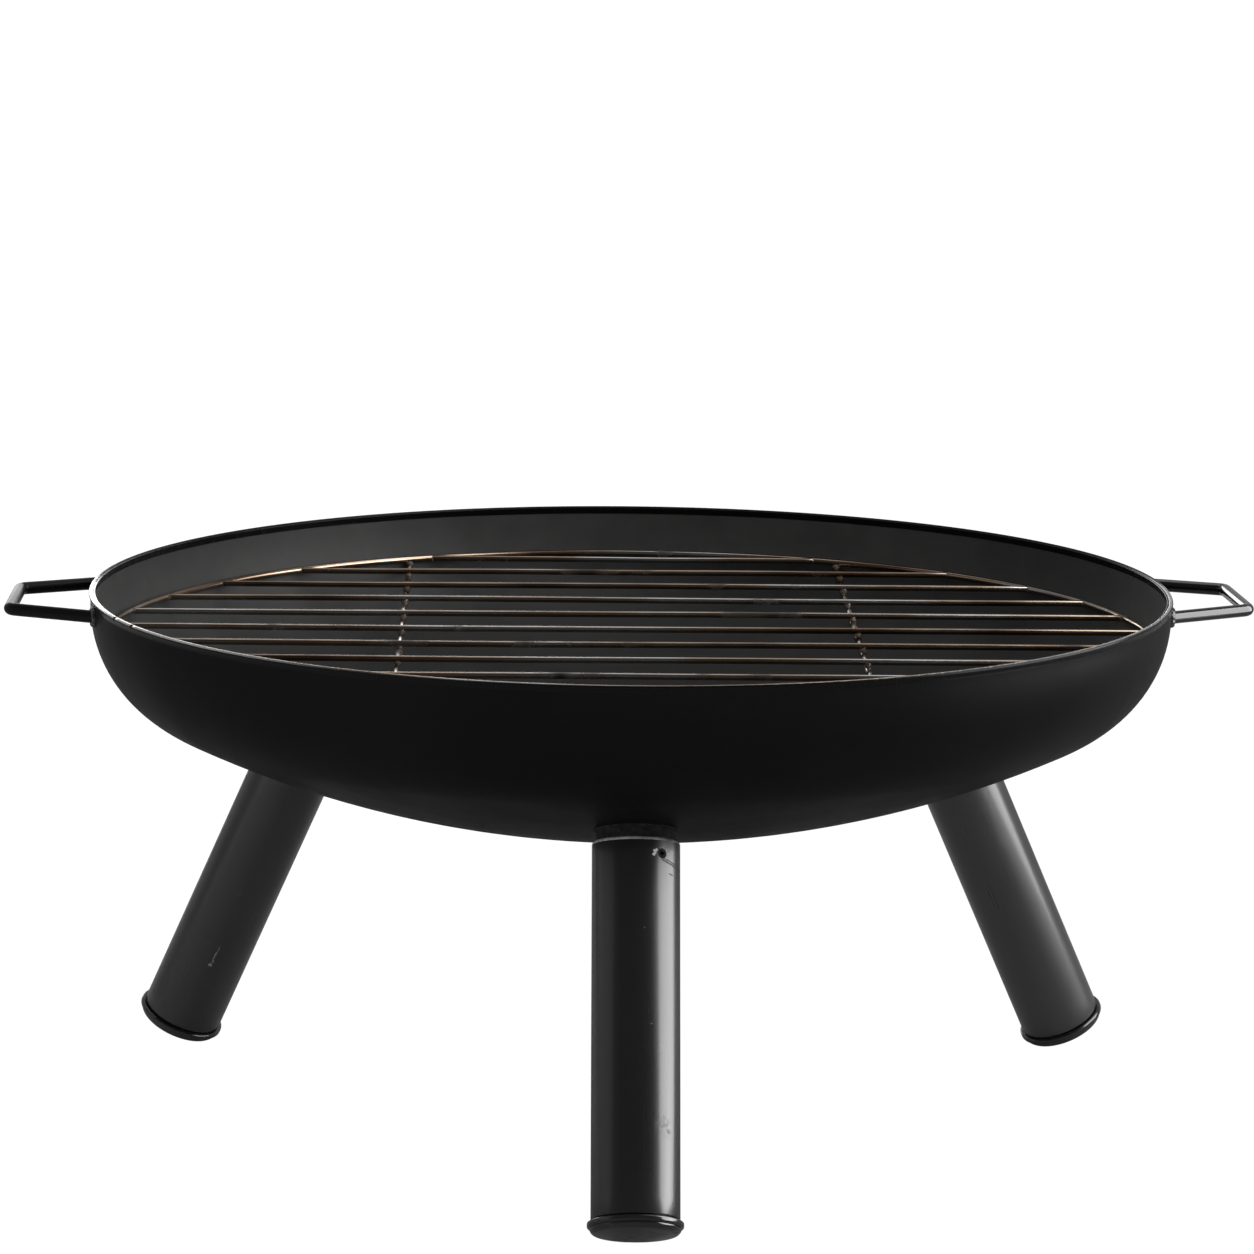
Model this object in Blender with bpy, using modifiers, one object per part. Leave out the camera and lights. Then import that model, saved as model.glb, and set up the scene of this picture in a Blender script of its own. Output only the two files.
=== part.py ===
"""Round steel fire pit on three splayed tube legs, with a lift-out wire grate.

Units are metres, +Z is up and the feet stand on z = 0. Every piece of the pit
is placed from the bowl's vertical axis. That axis lies a little behind the
origin, because the front foot reaches further forward than the rim reaches
back, and the origin is the middle of the ground that the pit covers. The
right handle is welded on slightly behind the middle of its side.
"""
import math

import bmesh
import bpy
from mathutils import Vector

OBJECT_NAME = "fire_pit_with_grate"

# Free space left between two pieces that touch.
GAP = 0.0003

# Bowl: a shallow pressed dish with a rounded shoulder and a beaded rim.
RIM_HEIGHT = 0.295
RIM_RADIUS = 0.300
SHEET_THICKNESS = 0.002
BEAD_RADIUS = 0.002
WALL_RADIUS = 0.2992
SHOULDER_RADIUS = 0.070
SHOULDER_DROP = 0.008
DISH_RADIUS = 0.580
BOWL_STEPS = 72
BEAD_STEPS = 12
SHOULDER_STEPS = 6
DISH_STEPS = 6

# Where the bowl's axis stands, measured from the origin.
AXIS_X = -0.0006
AXIS_Y = 0.01125

# Legs: round tubes that lean outwards, one to the front and two behind.
LEG_AZIMUTHS = {"front": -90.0, "back_left": 150.0, "back_right": 30.0}
LEG_TILT = math.radians(26.5)
LEG_FOOT_RADIUS = 0.3061
LEG_TUBE_RADIUS = 0.0231
LEG_WALL = 0.002
LEG_SHADOW_GAP = 0.0066
LEG_LENGTH_UNCUT = 0.205
LEG_SIDES = 32

# Sockets: short tubes welded under the bowl, one inside the top of each leg.
SOCKET_CLEARANCE = 0.0003
SOCKET_WALL = 0.003
SOCKET_BOTTOM = 0.125

# Screws that hold each leg to its socket.
SCREW_RADIUS = 0.0021
SCREW_HOLE_RADIUS = 0.0025
SCREW_AZIMUTH = math.radians(35.0)
SCREW_HEIGHT = 0.1595
SCREW_RECESS = 0.0003
SCREW_INNER_END = 0.0150
SCREW_HEX_RADIUS = 0.0013
SCREW_HEX_DEPTH = 0.0020
SCREW_SIDES = 20

# Foot caps: a plug in the tube, a collar below it and a shallow sole with a rounded edge.
# Heights are along the leg, below the centre of its own axes.
CAP_COLLAR_RADIUS = 0.0250
CAP_COLLAR_TOP = -0.0310
CAP_COLLAR_BOTTOM = -0.0349
CAP_COLLAR_ROUND = 0.0010
CAP_SOLE_RADIUS = 0.0238
CAP_SOLE_ROUND = 0.0035
CAP_CROWN_RADIUS = 0.120
CAP_FOOT_HEIGHT = 0.0427
CAP_SOLE_FLAT = 0.0003
CAP_TUBE_GAP = 0.0008
CAP_PLUG_LENGTH = 0.018
CAP_PLUG_CHAMFER = 0.0015
CAP_STEPS = 32

# Handles: bent rods welded to the wall just below the rim.
HANDLE_ROD_RADIUS = 0.0035
HANDLE_DROP = 0.009
HANDLE_REACH = 0.345
HANDLE_ROOT_HALF = 0.0595
HANDLE_GRIP_HALF = 0.034
HANDLE_BEND_RADIUS = 0.006
HANDLE_BEND_STEPS = 6
HANDLE_AZIMUTHS = {"right_handle": 4.5, "left_handle": 180.0}

# Grate: a wire ring with straight bars across it and two cross bars below.
GRATE_DROP = 0.028
RING_WIRE_RADIUS = 0.002
BAR_WIRE_RADIUS = 0.00175
CROSS_WIRE_RADIUS = 0.002
BAR_COUNT = 12
CROSS_BAR_OFFSET = 0.128
CROSS_BAR_HALF = 0.2605
RING_WIRE_SIDES = 10
BAR_SIDES = 12

MATERIALS = {
    "black_steel": ((0.012, 0.012, 0.013, 1.0), 0.42, 0.0),
    "black_leg_steel": ((0.014, 0.014, 0.015, 1.0), 0.30, 0.0),
    "black_plastic": ((0.010, 0.010, 0.011, 1.0), 0.18, 0.0),
    "dark_zinc": ((0.08, 0.08, 0.085, 1.0), 0.35, 1.0),
    "grate_wire": ((0.46, 0.40, 0.35, 1.0), 0.30, 1.0),
}


def clear_scene():
    for obj in list(bpy.data.objects):
        bpy.data.objects.remove(obj, do_unlink=True)


def new_collection(name):
    collection = bpy.data.collections.new(name)
    bpy.context.scene.collection.children.link(collection)
    return collection


def make_material(name):
    color, roughness, metallic = MATERIALS[name]
    material = bpy.data.materials.new(name)
    material.use_nodes = True
    shader = material.node_tree.nodes["Principled BSDF"]
    shader.inputs["Base Color"].default_value = color
    shader.inputs["Roughness"].default_value = roughness
    shader.inputs["Metallic"].default_value = metallic
    material.diffuse_color = color
    return material


def add_object(name, data, collection, parent=None, material=None):
    obj = bpy.data.objects.new(name, data)
    collection.objects.link(obj)
    obj.parent = parent
    if material is not None:
        data.materials.append(material)
    return obj


def add_empty(name, location, rotation=(0.0, 0.0, 0.0), parent=None):
    empty = add_object(name, None, parts, parent)
    empty.location = location
    empty.rotation_euler = rotation
    return empty


def mark_cutter(obj):
    obj.hide_render = True
    obj.display_type = "WIRE"
    return obj


def shade(obj, angle=35.0):
    obj.data.shade_smooth()
    obj.data.set_sharp_from_angle(angle=math.radians(angle))


def arc_points(center, radius, start, end, steps):
    """Points (x, z) on an arc, from the start angle to the end angle."""
    points = []
    for index in range(steps + 1):
        angle = start + (end - start) * index / steps
        points.append((center[0] + radius * math.cos(angle),
                       center[1] + radius * math.sin(angle)))
    return points


def turned_object(name, profile, steps, collection, parent=None, material=None):
    """Solid of revolution about the object's own Z axis."""
    mesh = bpy.data.meshes.new(name)
    vertices = [(x, 0.0, z) for x, z in profile]
    edges = [(index, index + 1) for index in range(len(profile) - 1)]
    mesh.from_pydata(vertices, edges, [])
    obj = add_object(name, mesh, collection, parent, material)
    screw = obj.modifiers.new("turn", "SCREW")
    screw.steps = steps
    screw.render_steps = steps
    screw.use_merge_vertices = True
    screw.merge_threshold = 0.00001
    screw.use_smooth_shade = True
    return obj


def cylinder_object(name, radius, low, high, sides, collection, parent=None, material=None):
    """Cylinder about the object's own Z axis, from low to high."""
    mesh = bpy.data.meshes.new(name)
    shape = bmesh.new()
    bmesh.ops.create_cone(shape, cap_ends=True, segments=sides, radius1=radius,
                          radius2=radius, depth=high - low)
    bmesh.ops.translate(shape, verts=shape.verts, vec=(0.0, 0.0, (low + high) / 2))
    shape.to_mesh(mesh)
    shape.free()
    obj = add_object(name, mesh, collection, parent, material)
    shade(obj)
    return obj


def add_boolean(obj, cutter, operation="DIFFERENCE"):
    modifier = obj.modifiers.new(operation.lower(), "BOOLEAN")
    modifier.operation = operation
    modifier.solver = "EXACT"
    modifier.object = cutter


def shoulder_center():
    return WALL_RADIUS - SHOULDER_RADIUS, RIM_HEIGHT - SHOULDER_DROP


def dish_center_height():
    x, z = shoulder_center()
    return z + math.sqrt((DISH_RADIUS - SHOULDER_RADIUS) ** 2 - x ** 2)


def skin_profile(offset):
    """Points down the bowl's outer skin, moved outwards by the offset."""
    center = shoulder_center()
    center_height = dish_center_height()
    dish_edge = math.atan2(center[0], center_height - center[1])
    shoulder_end = dish_edge - math.pi / 2
    points = arc_points(center, SHOULDER_RADIUS + offset, 0.0, shoulder_end, SHOULDER_STEPS)
    dish = arc_points((0.0, center_height), DISH_RADIUS + offset,
                      shoulder_end, -math.pi / 2, DISH_STEPS)
    points.extend(dish[1:-1])
    points.append((0.0, center_height - DISH_RADIUS - offset))
    return points


def bowl_profile():
    inner = list(reversed(skin_profile(-SHEET_THICKNESS)))
    bead = (RIM_RADIUS - BEAD_RADIUS, RIM_HEIGHT - BEAD_RADIUS)
    inner_wall = WALL_RADIUS - SHEET_THICKNESS
    start = 2 * math.pi - math.acos((inner_wall - bead[0]) / BEAD_RADIUS)
    end = -math.acos((WALL_RADIUS - bead[0]) / BEAD_RADIUS)
    return inner + arc_points(bead, BEAD_RADIUS, start, end, BEAD_STEPS) + skin_profile(0.0)


def bowl_space(name, offset):
    """Cutter that fills the bowl out to its outer skin plus the offset."""
    top = RIM_HEIGHT + 0.02
    profile = [(0.0, top), (WALL_RADIUS + offset, top)] + skin_profile(offset)
    return mark_cutter(turned_object(name, profile, BOWL_STEPS, cutters, axis))


def tube_wall_profile(inner, outer, low, high):
    """Closed section of a tube, down its outer side and up its bore."""
    return [(inner, high), (outer, high), (outer, low), (inner, low), (inner, high)]


def make_bowl():
    turned_object("bowl", bowl_profile(), BOWL_STEPS, parts, axis, black_steel)


def bent_corner(corner, before, after):
    """Arc that rounds a corner of the handle between its two straight runs."""
    to_before = (Vector(before) - Vector(corner)).normalized()
    to_after = (Vector(after) - Vector(corner)).normalized()
    half_angle = to_before.angle(to_after) / 2
    bisector = (to_before + to_after).normalized()
    center = Vector(corner) + bisector * HANDLE_BEND_RADIUS / math.sin(half_angle)
    tangent = HANDLE_BEND_RADIUS / math.tan(half_angle)
    first = Vector(corner) + to_before * tangent - center
    last = Vector(corner) + to_after * tangent - center
    sweep = first.angle(last)
    points = []
    for index in range(HANDLE_BEND_STEPS + 1):
        part = index / HANDLE_BEND_STEPS
        blend = first * math.sin((1 - part) * sweep) + last * math.sin(part * sweep)
        points.append(center + blend / math.sin(sweep))
    return points


def handle_path():
    """Centre line of the rod, from inside the wall out to the grip and back."""
    grip_x = HANDLE_REACH - HANDLE_ROD_RADIUS
    root_x = WALL_RADIUS - 0.010
    root_a = (root_x, -HANDLE_ROOT_HALF, 0.0)
    grip_a = (grip_x, -HANDLE_GRIP_HALF, 0.0)
    grip_b = (grip_x, HANDLE_GRIP_HALF, 0.0)
    root_b = (root_x, HANDLE_ROOT_HALF, 0.0)
    path = [Vector(root_a)]
    path.extend(bent_corner(grip_a, root_a, grip_b))
    path.extend(bent_corner(grip_b, grip_a, root_b))
    path.append(Vector(root_b))
    return path


def rod_mesh(name, path, radius):
    """Mesh of a round rod along the path, made from a bevelled curve."""
    curve = bpy.data.curves.new(name + "_path", "CURVE")
    curve.dimensions = "3D"
    curve.bevel_depth = radius
    curve.bevel_resolution = 3
    curve.use_fill_caps = True
    spline = curve.splines.new("POLY")
    spline.points.add(len(path) - 1)
    for point, position in zip(spline.points, path):
        point.co = (position[0], position[1], position[2], 1.0)
    guide = add_object(name + "_guide", curve, cutters)
    bpy.context.view_layer.update()
    evaluated = guide.evaluated_get(bpy.context.evaluated_depsgraph_get())
    mesh = bpy.data.meshes.new_from_object(evaluated)
    bpy.data.objects.remove(guide, do_unlink=True)
    shape = bmesh.new()
    shape.from_mesh(mesh)
    bmesh.ops.remove_doubles(shape, verts=shape.verts, dist=0.00001)
    bmesh.ops.recalc_face_normals(shape, faces=shape.faces)
    shape.to_mesh(mesh)
    shape.free()
    return mesh


def make_handles():
    mesh = rod_mesh("handle", handle_path(), HANDLE_ROD_RADIUS)
    for name, azimuth in HANDLE_AZIMUTHS.items():
        handle = add_object(name, mesh.copy(), parts, axis, black_steel)
        handle.location = (0.0, 0.0, RIM_HEIGHT - HANDLE_DROP)
        handle.rotation_euler = (0.0, 0.0, math.radians(azimuth))
        shade(handle)
        add_boolean(handle, wall_space)


def sole_edge_center():
    """Centre of the sole's rounded edge, low enough for the tilted edge to reach the ground."""
    radius = CAP_SOLE_RADIUS - CAP_SOLE_ROUND
    reach = CAP_FOOT_HEIGHT + CAP_SOLE_FLAT - CAP_SOLE_ROUND
    return radius, -(reach - radius * math.sin(LEG_TILT)) / math.cos(LEG_TILT)


def cap_profile():
    """Foot cap about the leg's axis."""
    plug_radius = LEG_TUBE_RADIUS - LEG_WALL - SOCKET_CLEARANCE
    plug_top = CAP_COLLAR_TOP + CAP_TUBE_GAP + CAP_PLUG_LENGTH
    points = [(0.0, plug_top),
              (plug_radius - CAP_PLUG_CHAMFER, plug_top),
              (plug_radius, plug_top - CAP_PLUG_CHAMFER),
              (plug_radius, CAP_COLLAR_TOP)]
    upper = (CAP_COLLAR_RADIUS - CAP_COLLAR_ROUND, CAP_COLLAR_TOP - CAP_COLLAR_ROUND)
    points.extend(arc_points(upper, CAP_COLLAR_ROUND, math.pi / 2, 0.0, 3))
    lower = (CAP_COLLAR_RADIUS - CAP_COLLAR_ROUND, CAP_COLLAR_BOTTOM + CAP_COLLAR_ROUND)
    points.extend(arc_points(lower, CAP_COLLAR_ROUND, 0.0, -math.pi / 3, 2))
    edge = sole_edge_center()
    crown_z = edge[1] + math.sqrt((CAP_CROWN_RADIUS - CAP_SOLE_ROUND) ** 2 - edge[0] ** 2)
    crown_edge = math.asin(edge[0] / (CAP_CROWN_RADIUS - CAP_SOLE_ROUND)) - math.pi / 2
    start = math.asin((CAP_COLLAR_BOTTOM - edge[1]) / CAP_SOLE_ROUND)
    points.extend(arc_points(edge, CAP_SOLE_ROUND, start, crown_edge, 4))
    points.append((0.0, crown_z - CAP_CROWN_RADIUS))
    return points


def screw_mount(name, frame):
    """Empty on the screw's axis, with its Z axis pointing out of the leg."""
    mount = add_empty(name, (0.0, 0.0, SCREW_HEIGHT), parent=frame)
    mount.rotation_euler = (0.0, math.pi / 2, SCREW_AZIMUTH)
    return mount


def make_leg(side, azimuth):
    angle = math.radians(azimuth)
    reach = LEG_FOOT_RADIUS - CAP_FOOT_HEIGHT * math.tan(LEG_TILT)
    place = (reach * math.cos(angle), reach * math.sin(angle), CAP_FOOT_HEIGHT)
    frame = add_empty("leg_frame_" + side, place, (0.0, -LEG_TILT, angle), axis)
    mount = screw_mount("screw_axis_" + side, frame)
    hole = cylinder_object("screw_hole_" + side, SCREW_HOLE_RADIUS, SCREW_INNER_END - 0.002,
                           LEG_TUBE_RADIUS + 0.005, SCREW_SIDES, cutters, mount)
    mark_cutter(hole)

    bore = LEG_TUBE_RADIUS - LEG_WALL
    tube_low = CAP_COLLAR_TOP + CAP_TUBE_GAP
    tube = turned_object("leg_" + side,
                         tube_wall_profile(bore, LEG_TUBE_RADIUS, tube_low, LEG_LENGTH_UNCUT),
                         LEG_SIDES, parts, frame, black_leg_steel)
    add_boolean(tube, leg_top_space)
    add_boolean(tube, hole)

    socket_radius = bore - SOCKET_CLEARANCE
    socket = turned_object("leg_socket_" + side,
                           tube_wall_profile(socket_radius - SOCKET_WALL, socket_radius,
                                             SOCKET_BOTTOM, LEG_LENGTH_UNCUT),
                           LEG_SIDES, parts, frame, black_steel)
    add_boolean(socket, wall_space)
    add_boolean(socket, hole)

    screw = cylinder_object("leg_screw_" + side, SCREW_RADIUS, SCREW_INNER_END,
                            LEG_TUBE_RADIUS - SCREW_RECESS, SCREW_SIDES, parts, mount, dark_zinc)
    key = cylinder_object("screw_key_" + side, SCREW_HEX_RADIUS,
                          LEG_TUBE_RADIUS - SCREW_RECESS - SCREW_HEX_DEPTH,
                          LEG_TUBE_RADIUS + 0.002, 6, cutters, mount)
    mark_cutter(key)
    add_boolean(screw, key)

    cap = turned_object("foot_cap_" + side, cap_profile(), CAP_STEPS, parts, frame, black_plastic)
    add_boolean(cap, ground)


def make_ring():
    bpy.ops.mesh.primitive_torus_add(major_segments=BOWL_STEPS, minor_segments=RING_WIRE_SIDES,
                                     major_radius=ring_radius(), minor_radius=RING_WIRE_RADIUS)
    ring = bpy.context.object
    ring.name = "grate_ring"
    ring.data.name = "grate_ring"
    for collection in list(ring.users_collection):
        collection.objects.unlink(ring)
    parts.objects.link(ring)
    ring.parent = grate
    ring.data.materials.append(grate_wire)
    shade(ring)


def ring_radius():
    """The ring rests on the bowl's shoulder, so the height sets its radius."""
    center = shoulder_center()
    reach = SHOULDER_RADIUS - SHEET_THICKNESS - RING_WIRE_RADIUS - GAP
    drop = GRATE_DROP - SHOULDER_DROP
    return center[0] + math.sqrt(reach ** 2 - drop ** 2)


def make_bars():
    """Straight bars along X, each cut to the curve of the ring's inner side."""
    pitch = 2 * ring_radius() / BAR_COUNT
    for index in range(BAR_COUNT):
        y = (index - (BAR_COUNT - 1) / 2) * pitch
        name = "grate_bar_%02d" % (index + 1)
        bar = cylinder_object(name, BAR_WIRE_RADIUS, -RIM_RADIUS, RIM_RADIUS, BAR_SIDES,
                              parts, grate, grate_wire)
        bar.location = (0.0, y, 0.0)
        bar.rotation_euler = (0.0, math.pi / 2, 0.0)
        add_boolean(bar, ring_space, "INTERSECT")


def make_cross_bars():
    drop = RING_WIRE_RADIUS + GAP + CROSS_WIRE_RADIUS
    for side, sign in (("left", -1), ("right", 1)):
        bar = cylinder_object("grate_cross_bar_" + side, CROSS_WIRE_RADIUS, -CROSS_BAR_HALF,
                              CROSS_BAR_HALF, BAR_SIDES, parts, grate, grate_wire)
        bar.location = (sign * CROSS_BAR_OFFSET, 0.0, -drop)
        bar.rotation_euler = (math.pi / 2, 0.0, 0.0)


clear_scene()
parts = new_collection(OBJECT_NAME)
cutters = new_collection("cutters")
black_steel = make_material("black_steel")
black_leg_steel = make_material("black_leg_steel")
black_plastic = make_material("black_plastic")
dark_zinc = make_material("dark_zinc")
grate_wire = make_material("grate_wire")

axis = add_empty("bowl_axis", (AXIS_X, AXIS_Y, 0.0))
grate = add_empty("grate", (0.0, 0.0, RIM_HEIGHT - GRATE_DROP), parent=axis)
wall_space = bowl_space("bowl_space_wall", GAP)
leg_top_space = bowl_space("bowl_space_leg_tops", LEG_SHADOW_GAP)
ground = mark_cutter(cylinder_object("ground", 2 * RIM_RADIUS, -0.1, 0.0, 8, cutters, axis))
ring_space = mark_cutter(cylinder_object("ring_space", ring_radius() - RING_WIRE_RADIUS - GAP,
                                         -0.01, 0.01, BOWL_STEPS, cutters, grate))

make_bowl()
make_handles()
for leg_side, leg_azimuth in LEG_AZIMUTHS.items():
    make_leg(leg_side, leg_azimuth)
make_ring()
make_bars()
make_cross_bars()
bpy.context.view_layer.update()
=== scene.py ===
"""Looks of the round steel fire pit: fine meshes, paint, heat-tinted wire and a studio around it.

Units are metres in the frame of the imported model: +Z up, feet on z = 0. Everything on the pit is
placed from the bowl's vertical axis, and everything on a leg from that leg's own axis.
"""

import math

import bmesh
import bpy
from mathutils import Matrix, Vector, noise


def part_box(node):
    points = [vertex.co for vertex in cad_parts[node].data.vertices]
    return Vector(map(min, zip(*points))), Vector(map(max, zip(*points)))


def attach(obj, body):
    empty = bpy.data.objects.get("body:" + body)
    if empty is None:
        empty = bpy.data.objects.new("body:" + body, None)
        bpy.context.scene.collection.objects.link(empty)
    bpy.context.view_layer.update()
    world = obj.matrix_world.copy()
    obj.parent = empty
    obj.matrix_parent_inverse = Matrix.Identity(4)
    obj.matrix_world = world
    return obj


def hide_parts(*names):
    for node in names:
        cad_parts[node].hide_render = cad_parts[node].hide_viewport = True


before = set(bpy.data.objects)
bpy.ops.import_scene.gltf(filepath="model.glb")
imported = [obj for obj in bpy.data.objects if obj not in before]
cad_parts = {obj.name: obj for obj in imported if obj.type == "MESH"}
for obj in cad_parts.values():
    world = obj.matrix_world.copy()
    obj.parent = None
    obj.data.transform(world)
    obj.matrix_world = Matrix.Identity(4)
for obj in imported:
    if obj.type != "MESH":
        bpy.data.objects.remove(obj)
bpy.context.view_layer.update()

bowl_low, bowl_high = (Vector(corner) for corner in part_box("bowl"))
ring_low, ring_high = (Vector(corner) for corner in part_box("grate_ring"))
AXIS = Vector(((bowl_low.x + bowl_high.x) / 2, (bowl_low.y + bowl_high.y) / 2, 0.0))
AT_AXIS = Matrix.Translation(AXIS)

# Bowl, in the same dimensions as the CAD model.
RIM_RADIUS = (bowl_high.x - bowl_low.x) / 2
RIM_HEIGHT = bowl_high.z
SHEET = 0.002
WALL_RADIUS = RIM_RADIUS - 0.0008
SHOULDER_RADIUS = 0.070
SHOULDER_DROP = 0.008
DISH_RADIUS = 0.580

# Rolled rim: the roll itself, and the thin edge of the sheet that lies against it inside. Two nicks
# are pressed into it on the left.
ROLL_RADIUS = 0.0013
LIP_RADIUS = 0.0005
LIP_DROP = 0.0006
HEM_HEIGHT = 0.0046
NICK_AZIMUTHS = (201.5, 206.5)
NICK_HALF_WIDTH = 0.22
NICK_DEPTH = 0.0011
NICK_STEPS = (-1.0, -0.6, -0.3, 0.0, 0.3, 0.6, 1.0)
NICK_BARE_RADIUS = 0.0017
UNEVEN_FROM = 0.24
OUT_OF_ROUND = 0.00028
RIM_WAVE = 0.00022
BOWL_SIDES = 288

# Legs.
LEG_AZIMUTHS = {"front": -90.0, "back_left": 150.0, "back_right": 30.0}
LEG_TILT = math.radians(26.5)
LEG_FOOT_RADIUS = 0.3061
TUBE_RADIUS = 0.0231
TUBE_WALL = 0.002
TUBE_LIP = 0.0019
TUBE_ROWS = 30
TUBE_TOP_GAP = 0.0066
SOCKET_RADIUS = TUBE_RADIUS - TUBE_WALL - 0.0003
SOCKET_WALL = 0.003
SOCKET_BOTTOM = 0.125
SOCKET_LIP = 0.0006
SOCKET_TOP_GAP = 0.0001
SOCKET_BEAD = 0.0012
SOCKET_BEAD_STEPS = 140
SOCKET_BEAD_RIPPLES = 44
LEG_SIDES = 96
LIP_BANDS = 10
SCREW_AZIMUTH = math.radians(35.0)
SCREW_HEIGHT = 0.1595
HOLE_RADIUS = 0.0025
HOLE_FLARE = 0.0031
HOLE_SIDES = 40

# Foot caps, with heights along the leg below the centre of its own axes. The collar is a little
# shallower than in the CAD model, which leaves room for a groove.
COLLAR_RADIUS = 0.0250
COLLAR_TOP = -0.0310
COLLAR_BOTTOM = -0.0342
COLLAR_ROUND = 0.0010
CAP_GROOVE = 0.0004
SOLE_RADIUS = 0.0238
SOLE_ROUND = 0.0035
CROWN_RADIUS = 0.120
FOOT_HEIGHT = 0.0427
SOLE_FLAT = 0.0003
CAP_TUBE_GAP = 0.0008
PLUG_LENGTH = 0.018
PLUG_CHAMFER = 0.0015

# Handles.
ROD_RADIUS = 0.0035
HANDLE_DROP = 0.009
HANDLE_REACH = 0.345
HANDLE_ROOT_HALF = 0.0595
HANDLE_GRIP_HALF = 0.034
HANDLE_BEND_RADIUS = 0.006
HANDLE_BEND_STEPS = 14
ROD_SIDES = 32
HANDLE_BEAD = 0.0019
HANDLE_BEAD_STEPS = 64
HANDLE_BEAD_RIPPLES = 11
ROD_END_RADIUS = WALL_RADIUS - 0.0006
HANDLE_AZIMUTHS = {"right_handle": 4.5, "left_handle": 180.0}

# Grate wires.
RING_WIRE = 0.002
BAR_WIRE = 0.00175
CROSS_WIRE = 0.002
GRATE_HEIGHT = (ring_low.z + ring_high.z) / 2
RING_RADIUS = (ring_high.x - ring_low.x) / 2 - RING_WIRE
BAR_NAMES = ["grate_bar_%02d" % number for number in range(1, 13)]
CROSS_NAMES = ["grate_cross_bar_left", "grate_cross_bar_right"]
WIRE_STEPS = 40
ROD_END_STEPS = 4
WIRE_BOW = 0.0005
WIRE_WANDER = 0.0006
RING_UNEVEN = 0.0003
CROSSING_NUB = (0.0021, 0.0021, 0.0015)
END_NUB = (0.0022, 0.0022, 0.0017)
END_NUB_SHIFT = 0.0006

# Paint.
COAT_ROUGHNESS = 0.10
LEG_COAT = 0.25
SCRATCH_PIECES = 5
SCRATCH_SOFT = 0.0002

# Camera: its place from the bowl's axis and rim, then its aim in degrees.
CAMERA_DISTANCE = 3.128
CAMERA_RISE = 0.5238
CAMERA_LEFT = 1.10
CAMERA_PITCH = 9.906
CAMERA_YAW = -0.037
CAMERA_ROLL = 0.605
CAMERA_LENS = 163.95

# Studio.
FLOOR_HALF = 30.0
FLOOR_GLOW = 1.17
FLOOR_GLOW_SHARE = 0.85
FLOOR_BOUNCE = 0.72
FLOOR_SEEN_MATT = 0.8
WORLD_TURN = (0.15, 0.75)
WORLD_FRONT = 0.06
WORLD_BACK = 0.32
LIGHTS_AIM_HEIGHT = 0.15


# ---------------------------------------------------------------- materials

def add_node(tree, kind, values=None):
    """New shader node, with some of its inputs set."""
    node = tree.nodes.new("ShaderNode" + kind)
    for name, value in (values or {}).items():
        node.inputs[name].default_value = value
    return node


def smooth_range(tree, start, end, low, high):
    node = add_node(tree, "MapRange",
                    {"From Min": start, "From Max": end, "To Min": low, "To Max": high})
    node.interpolation_type = "SMOOTHSTEP"
    return node


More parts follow.
